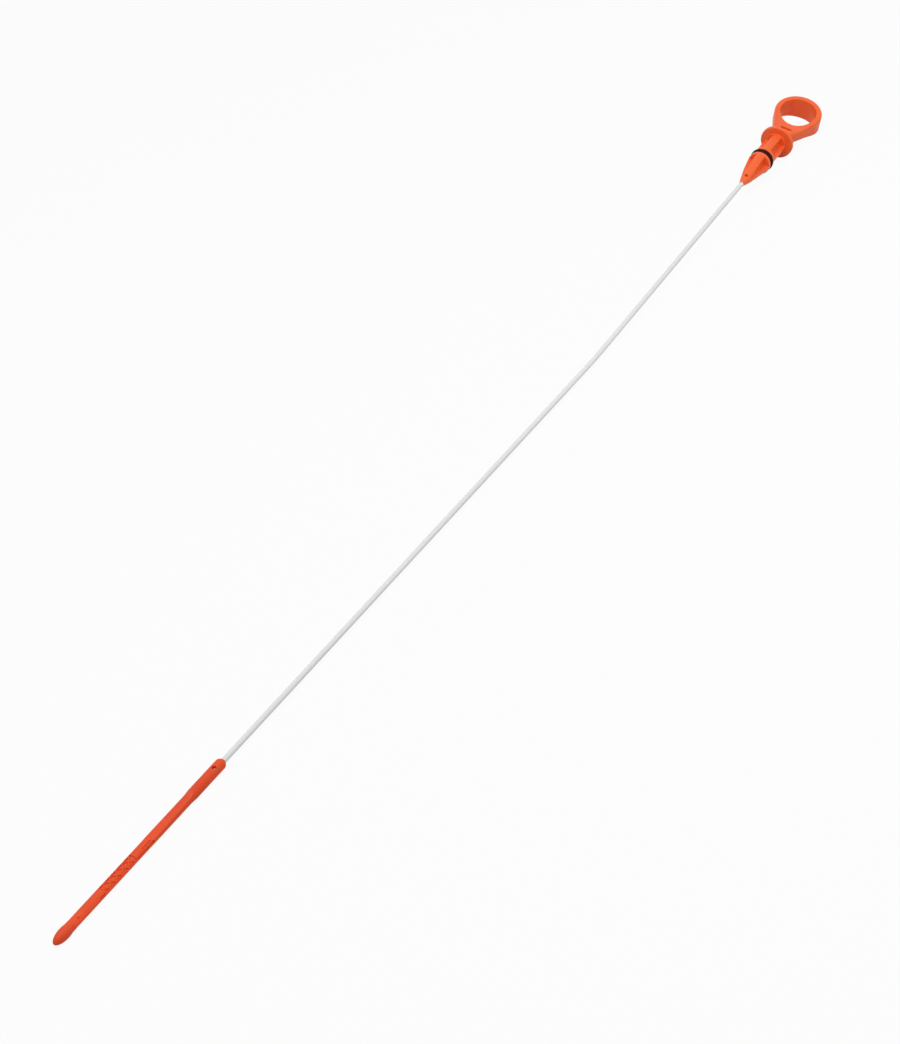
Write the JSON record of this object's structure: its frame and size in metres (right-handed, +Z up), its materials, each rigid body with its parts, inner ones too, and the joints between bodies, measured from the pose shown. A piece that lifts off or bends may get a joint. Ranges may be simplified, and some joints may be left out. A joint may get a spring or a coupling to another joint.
{
  "type": "engine oil dipstick",
  "caption": "Engine oil dipstick with a finger-ring handle, a ribbed plug with a flange and rubber seal, a thin flexible rod and a moulded gauge blade with a cross-hatched measuring zone.",
  "frame": {"origin": "centre of the bounding box, on the surface that the part lies on", "axes": "+X from the gauge blade to the finger ring, along the rod's long run; +Z up; +Y to the left, looking from the blade to the ring"},
  "size_m": [0.7608, 0.0298, 0.0229],
  "materials": {
    "handle_plastic": "moulded orange plastic, satin",
    "seal_rubber": "smooth black rubber",
    "rod_plastic": "drawn pale grey plastic, semi-matt",
    "blade_plastic": "moulded red-orange plastic, fine-grained"
  },
  "bodies": {
    "root": {"handle": "handle_plastic", "seal_ring": "seal_rubber", "rod": "rod_plastic", "gauge_blade": "blade_plastic"}
  },
  "joints": []
}
